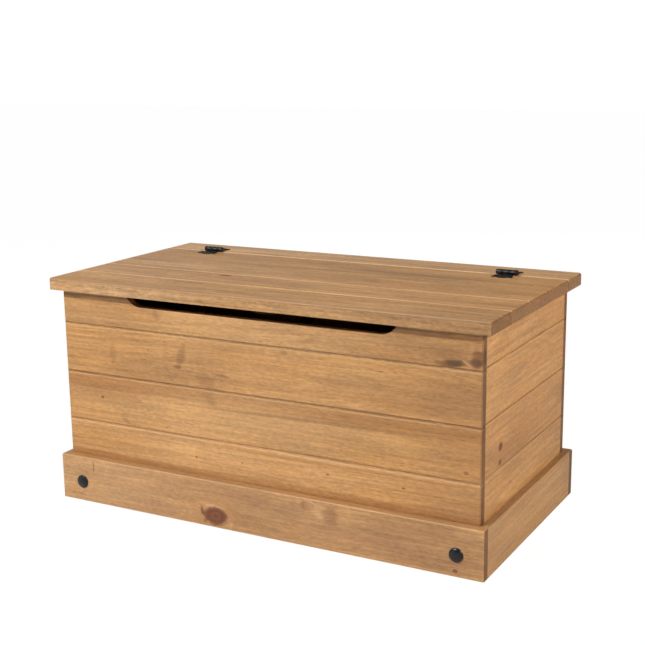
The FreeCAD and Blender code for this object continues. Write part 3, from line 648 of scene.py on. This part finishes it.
unwaxed = {"rough": 0.62, "coat": 0.0}
for number, side in enumerate(("left", "centre", "right")):
    dressPine("lid_batten_" + side, grain="batten", seed=61 + number * 1.7, pith=(0.01, 0.05), **unwaxed)
for number, corner in enumerate(("front_left", "front_right", "back_left", "back_right")):
    dressPine("corner_post_" + corner, grain="post", seed=71 + number * 1.3, pith=(0.03, 0.03), **unwaxed)
for number, end in enumerate(("front", "back")):
    dressPine("base_cleat_" + end, grain="lid", seed=81 + number * 1.9, pith=(0.02, 0.03), **unwaxed)
dressPine("base_panel", grain="lid", seed=91.3, pith=(0.05, 0.4), ring=0.011, wander=0.16, lateAmount=0.3,
          tint=(1.12, 1.16, 1.3), **unwaxed)
dressPine("rail_dowels", grain="post", seed=97.0, ring=0.0012, rough=0.6, coat=0.0, tint=(1.1, 1.15, 1.3))
print("pine boards finished")


# Metals

ironLook = {"base": rgb(0.006, 0.007, 0.009), "rubbed": rgb(0.055, 0.068, 0.078), "rough": 0.38}
zincLook = {"base": rgb(0.42, 0.41, 0.38), "stain": rgb(0.26, 0.25, 0.23), "rough": 0.34}


def metalMaterial(title, base, second, rough, facets=300.0, facetHeight=0.00035, metallic=1.0, rubbed=1.0,
                  coat=0.0):
    material, tree = blankMaterial(title)
    place = addNode(tree, "TexCoord").outputs["Object"]
    beaten = useGroup(tree, planished, Vector=place, Scale=facets)
    film = noise(tree, place, 160, 3)
    patchy = plus(tree, times(tree, beaten["Rubbed"], rubbed),
                  times(tree, soften(tree, film, 0.45, 0.75), 0.35))
    bump = addNode(tree, "Bump", {"Strength": 0.7, "Distance": facetHeight, "Height": beaten["Height"]})
    sendOut(tree, addNode(tree, "BsdfPrincipled", {
        "Base Color": mixColour(tree, patchy, base, second), "Normal": bump.outputs[0], "Metallic": metallic,
        "Roughness": calc(tree, "MULTIPLY_ADD", film, 0.22, rough - 0.11), "Coat Weight": coat,
        "Coat Roughness": 0.2,
    }))
    return material


blackIron = metalMaterial("blackIron", ironLook["base"], ironLook["rubbed"], ironLook["rough"], metallic=0.4,
                          coat=0.25)
smoothIron = metalMaterial("smoothIron", ironLook["base"], ironLook["rubbed"], 0.46, facets=120.0,
                           facetHeight=0.00008, metallic=0.3, rubbed=0.5, coat=0.06)
zincPlate = metalMaterial("zincPlate", zincLook["base"], zincLook["stain"], zincLook["rough"], facets=800.0,
                          facetHeight=0.00004)
darkZinc = metalMaterial("darkZinc", rgb(0.020, 0.021, 0.024), zincLook["stain"], 0.38, facets=800.0,
                         facetHeight=0.00004, metallic=0.8, rubbed=0.4)
tubePaint = metalMaterial("tubePaint", rgb(0.018, 0.018, 0.020), rgb(0.05, 0.05, 0.055), 0.4, facets=500.0,
                          facetHeight=0.00003, metallic=0.0, coat=0.3)
groundSteel = metalMaterial("groundSteel", rgb(0.60, 0.60, 0.61), rgb(0.45, 0.45, 0.46), 0.22, facets=1500.0,
                            facetHeight=0.00002)


# Metal pieces made here

def finishPiece(bm, title, body, material, replaced=(), smooth=40):
    mesh = bpy.data.meshes.new(title)
    bm.to_mesh(mesh)
    bm.free()
    piece = bpy.data.objects.new(title, mesh)
    scene.collection.objects.link(piece)
    wearMaterial(piece, material)
    mesh.shade_smooth()
    mesh.set_sharp_from_angle(angle=math.radians(smooth))
    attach(piece, body)
    if replaced:
        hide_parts(*replaced)
    return piece


def lathe(bm, profile, place, axis=(0, 0, 1), turns=40):
    # spins (radius, height) points about an axis through a place, and adds the shape to bm
    part = bmesh.new()
    points = [part.verts.new((radius, 0, height)) for radius, height in profile]
    lines = [part.edges.new(pair) for pair in zip(points, points[1:])]
    bmesh.ops.spin(part, geom=points + lines, cent=(0, 0, 0), axis=(0, 0, 1), angle=2 * math.pi, steps=turns,
                   use_merge=True, use_duplicate=False)
    bmesh.ops.remove_doubles(part, verts=part.verts, dist=1e-6)
    bmesh.ops.recalc_face_normals(part, faces=part.faces)
    turn = Vector((0, 0, 1)).rotation_difference(Vector(axis)).to_matrix().to_4x4()
    bmesh.ops.transform(part, matrix=Matrix.Translation(place) @ turn, verts=part.verts)
    addTo(bm, part)


def addTo(bm, part):
    scratch = bpy.data.meshes.new("scratch")
    part.to_mesh(scratch)
    part.free()
    bm.from_mesh(scratch)
    bpy.data.meshes.remove(scratch)


def eased(nodeName, width, steps=2, sharp=35):
    # a merged copy of a CAD node with its sharp edges eased
    bm = bmesh.new()
    bm.from_mesh(frame["nodes"][nodeName].data)
    bmesh.ops.remove_doubles(bm, verts=bm.verts, dist=2e-6)
    bmesh.ops.dissolve_limit(bm, angle_limit=math.radians(0.5), verts=bm.verts, edges=bm.edges)
    edges = [e for e in bm.edges if len(e.link_faces) == 2 and e.calc_face_angle() > math.radians(sharp)]
    bmesh.ops.bevel(bm, geom=edges, offset=width, offset_type="OFFSET", segments=steps, profile=0.5,
                    affect="EDGES", clamp_overlap=True, material=-1)
    bmesh.ops.recalc_face_normals(bm, faces=bm.faces)
    return bm


studLook = {"radius": 0.013, "dome": 0.005, "lip": 0.0009, "shank": 0.0035}


def makeStud(side):
    low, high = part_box("skirt_stud_" + side)
    face = low.y + studLook["dome"]
    place = Vector(((low.x + high.x) / 2, face, (low.z + high.z) / 2))
    radius, dome, lip = studLook["radius"], studLook["dome"], studLook["lip"]
    profile = [(0.0, dome)]
    for step in range(1, 9):
        angle = math.radians(step * 11.25)
        profile.append((radius * 0.985 * math.sin(angle) ** 0.9, lip + (dome - lip) * math.cos(angle)))
    profile += [(radius, lip * 0.8), (radius, 0.0), (studLook["shank"], 0.0),
                (studLook["shank"], face - high.y), (0.0, face - high.y)]
    bm = bmesh.new()
    lathe(bm, profile, place, axis=(0, -1, 0), turns=48)
    finishPiece(bm, "stud_" + side, "box", blackIron, ["skirt_stud_" + side])


for side in ("left", "right"):
    makeStud(side)

hingeLook = {"leafEase": 0.00035, "spacing": 0.332, "back": 0.157}
for side in ("left", "right"):
    for part, body in (("rail_leaf", "box"), ("lid_leaf", "lid"), ("pin", "box")):
        nodeName = "hinge_%s_%s" % (side, part)
        bm = eased(nodeName, hingeLook["leafEase"])
        finishPiece(bm, "hinge_%s_%s_eased" % (side, part), frame["nodes"][nodeName]["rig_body"], smoothIron,
                    [nodeName])

screwLook = {"slot": 0.0008, "reach": 0.0020, "deep": 0.0009, "crown": 0.0005, "shank": 0.0016,
             "head": 0.0008, "point": 0.003}


def screwHead(bm, place, up, radius, depth):
    # a countersunk head with a cross recess: a disc with a plus-shaped hole, walled down to a floor
    part = bmesh.new()
    near, far = screwLook["slot"] / 2, min(screwLook["reach"], radius * 0.62)
    rim = bmesh.ops.create_circle(part, cap_ends=False, radius=radius, segments=28)["verts"]
    rimEdges = list(part.edges)
    corners = [(far, near), (near, near), (near, far), (-near, far), (-near, near), (-far, near),
               (-far, -near), (-near, -near), (-near, -far), (near, -far), (near, -near), (far, -near)]
    cross = [part.verts.new((x, y, screwLook["crown"])) for x, y in corners]
    crossEdges = [part.edges.new((a, b)) for a, b in zip(cross, cross[1:] + cross[:1])]
    bmesh.ops.triangle_fill(part, use_beauty=True, edges=rimEdges + crossEdges)
    walls = bmesh.ops.extrude_edge_only(part, edges=crossEdges)["geom"]
    floor = [v for v in walls if isinstance(v, bmesh.types.BMVert)]
    bmesh.ops.translate(part, verts=floor, vec=(0, 0, -screwLook["deep"]))
    bmesh.ops.contextual_create(part, geom=[e for e in walls if isinstance(e, bmesh.types.BMEdge)])
    skirt = bmesh.ops.extrude_edge_only(part, edges=rimEdges)["geom"]
    ring = [v for v in skirt if isinstance(v, bmesh.types.BMVert)]
    bmesh.ops.translate(part, verts=ring, vec=(0, 0, -depth))
    bmesh.ops.scale(part, verts=ring, vec=(0.5, 0.5, 1))
    bmesh.ops.contextual_create(part, geom=[e for e in skirt if isinstance(e, bmesh.types.BMEdge)])
    bmesh.ops.recalc_face_normals(part, faces=part.faces)
    turn = Vector((0, 0, 1)).rotation_difference(Vector(up)).to_matrix().to_4x4()
    bmesh.ops.transform(part, matrix=Matrix.Translation(place) @ turn, verts=part.verts)
    addTo(bm, part)


hingeScrewSpots = ((-0.014, 0.024), (0.014, 0.024), (0.0, 0.0135))  # across the leaf, and away from the pin


def makeHingeScrews(nodeName, body, way):
    low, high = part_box(nodeName)
    radius = (high.x - low.x) / 2 - hingeLook["spacing"] - hingeScrewSpots[1][0]
    shank, head = screwLook["shank"], screwLook["head"]
    bm = bmesh.new()
    for side in (-1, 1):
        for across, away in hingeScrewSpots:
            spot = Vector((side * hingeLook["spacing"] + across, hingeLook["back"] + way * away,
                           high.z - screwLook["crown"] * 2))
            tip = low.z - spot.z
            screwHead(bm, spot, (0, 0, 1), radius, head)
            profile = [(0.0, -head), (shank, -head), (shank, tip + screwLook["point"]), (0.0, tip)]
            lathe(bm, profile, spot, turns=16)
    finishPiece(bm, nodeName + "_cross", body, darkZinc, [nodeName])


makeHingeScrews("hinge_rail_screws", "box", 1)
makeHingeScrews("hinge_lid_screws", "lid", -1)

stayLook = {
    "stay_cylinder": (tubePaint, "stay_tube", 0.0006),
    "stay_rod": (groundSteel, "stay_steel", 0.0004),
    "stay_wall_bracket": (zincPlate, "stay_bracket", 0.0004),
    "stay_lid_bracket": (zincPlate, "stay_bracket", 0.0004),
}
for kind, (material, slot, width) in stayLook.items():
    for side in ("left", "right"):
        nodeName = "%s_%s" % (kind, side)
        body = frame["nodes"][nodeName]["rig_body"]
        finishPiece(eased(nodeName, width), nodeName + "_eased", body, material, [nodeName])
print("metal pieces finished")


# The other screws keep their CAD shapes
for nodeName in ("frame_screws", "batten_screws", "stay_wall_screws", "stay_lid_screws"):
    wearMaterial(frame["nodes"][nodeName], zincPlate)


# Floor, light and camera

floorLook = {"half": 14, "paint": 0.80, "veil": 0.03, "glow": 0.985}


def makeFloor():
    # plain pale paint for the light, and an even white for the camera
    bm = bmesh.new()
    bmesh.ops.create_grid(bm, x_segments=1, y_segments=1, size=floorLook["half"])
    mesh = bpy.data.meshes.new("paleFloor")
    bm.to_mesh(mesh)
    bm.free()
    floor = bpy.data.objects.new("paleFloor", mesh)
    scene.collection.objects.link(floor)
    material, tree = blankMaterial("paleFloor")
    paleCoat, veil = (addNode(tree, "BsdfDiffuse", {"Color": rgb(*[floorLook[part]] * 3)}).outputs[0]
                      for part in ("paint", "veil"))
    glow = addNode(tree, "Emission", {"Color": rgb(1, 1, 1), "Strength": floorLook["glow"]}).outputs[0]
    seen = addNode(tree, "AddShader", {0: veil, 1: glow}).outputs[0]
    isCamera = addNode(tree, "LightPath").outputs["Is Camera Ray"]
    sendOut(tree, addNode(tree, "MixShader", {0: isCamera, 1: paleCoat, 2: seen}))
    wearMaterial(floor, material)


lightLook = {
    "roomLow": 0.18, "roomHigh": 0.11, "shineLeft": 0.50, "shineRight": 0.14,
    "lamps": {
        "keyLamp": {"place": (-1.10, -2.15, 2.35), "aim": (0, -0.2, 0.2), "size": (0.30, 0.30), "power": 73.0,
                    "colour": (1.0, 0.98, 0.95)},
        "sideLamp": {"place": (2.9, -0.45, 1.95), "aim": (0.4, 0, 0.2), "size": (0.40, 0.40), "power": 58.0,
                     "colour": (1.0, 0.95, 0.87)},
        "backLamp": {"place": (-1.3, 3.0, 1.05), "aim": (0, 0, 0.2), "size": (1.2, 1.2), "power": 18.0,
                     "colour": (0.97, 0.98, 1.0), "shines": False},
    },
}


def makeLight(title, place, aim, size, power, colour, shines=True):
    data = bpy.data.lights.new(title, "AREA")
    data.shape = "RECTANGLE"
    data.size, data.size_y = size
    data.energy = power
    data.color = colour
    lamp = bpy.data.objects.new(title, data)
    scene.collection.objects.link(lamp)
    lamp.location = place
    lamp.visible_glossy = shines  # the back one would glare on the lid
    lamp.rotation_euler = (Vector(aim) - Vector(place)).to_track_quat("-Z", "Y").to_euler()


def makeRoom():
    world = bpy.data.worlds.new("paleRoom")
    scene.world = world
    world.use_nodes = True
    tree = world.node_tree
    tree.nodes.clear()
    way = addNode(tree, "SeparateXYZ", {0: addNode(tree, "TexCoord").outputs["Generated"]}).outputs
    strength = soften(tree, way[2], 0.0, 0.8, lightLook["roomLow"], lightLook["roomHigh"])
    gloss = soften(tree, way[0], -0.75, -0.25, lightLook["shineLeft"], lightLook["shineRight"])
    paths = addNode(tree, "LightPath").outputs
    seen = addNode(tree, "Background", {"Color": rgb(1, 1, 1), "Strength": 1.0}).outputs[0]
    lit = addNode(tree, "Background", {"Color": rgb(1, 1, 1), "Strength": strength}).outputs[0]
    shine = addNode(tree, "Background", {"Color": rgb(1, 1, 1), "Strength": gloss}).outputs[0]
    mixed = addNode(tree, "MixShader", {0: paths["Is Glossy Ray"], 1: lit, 2: shine}).outputs[0]
    mixed = addNode(tree, "MixShader", {0: paths["Is Camera Ray"], 1: mixed, 2: seen}).outputs[0]
    tree.links.new(mixed, addNode(tree, "OutputWorld").inputs[0])


cameraLook = {"lens": 68.227, "place": (1.1234, -2.0068, 0.8680), "turn": (77.305, 0.746, 28.684)}


def makeCamera():
    data = bpy.data.cameras.new("camera")
    data.lens = cameraLook["lens"]
    data.sensor_width = 36
    data.clip_end = 60
    camera = bpy.data.objects.new("camera", data)
    scene.collection.objects.link(camera)
    camera.location = cameraLook["place"]
    camera.rotation_euler = [math.radians(angle) for angle in cameraLook["turn"]]
    scene.camera = camera


makeFloor()
makeRoom()
for title, lamp in lightLook["lamps"].items():
    makeLight(title, **lamp)
makeCamera()
scene.view_settings.view_transform = "Standard"
print("floor, light and camera placed")
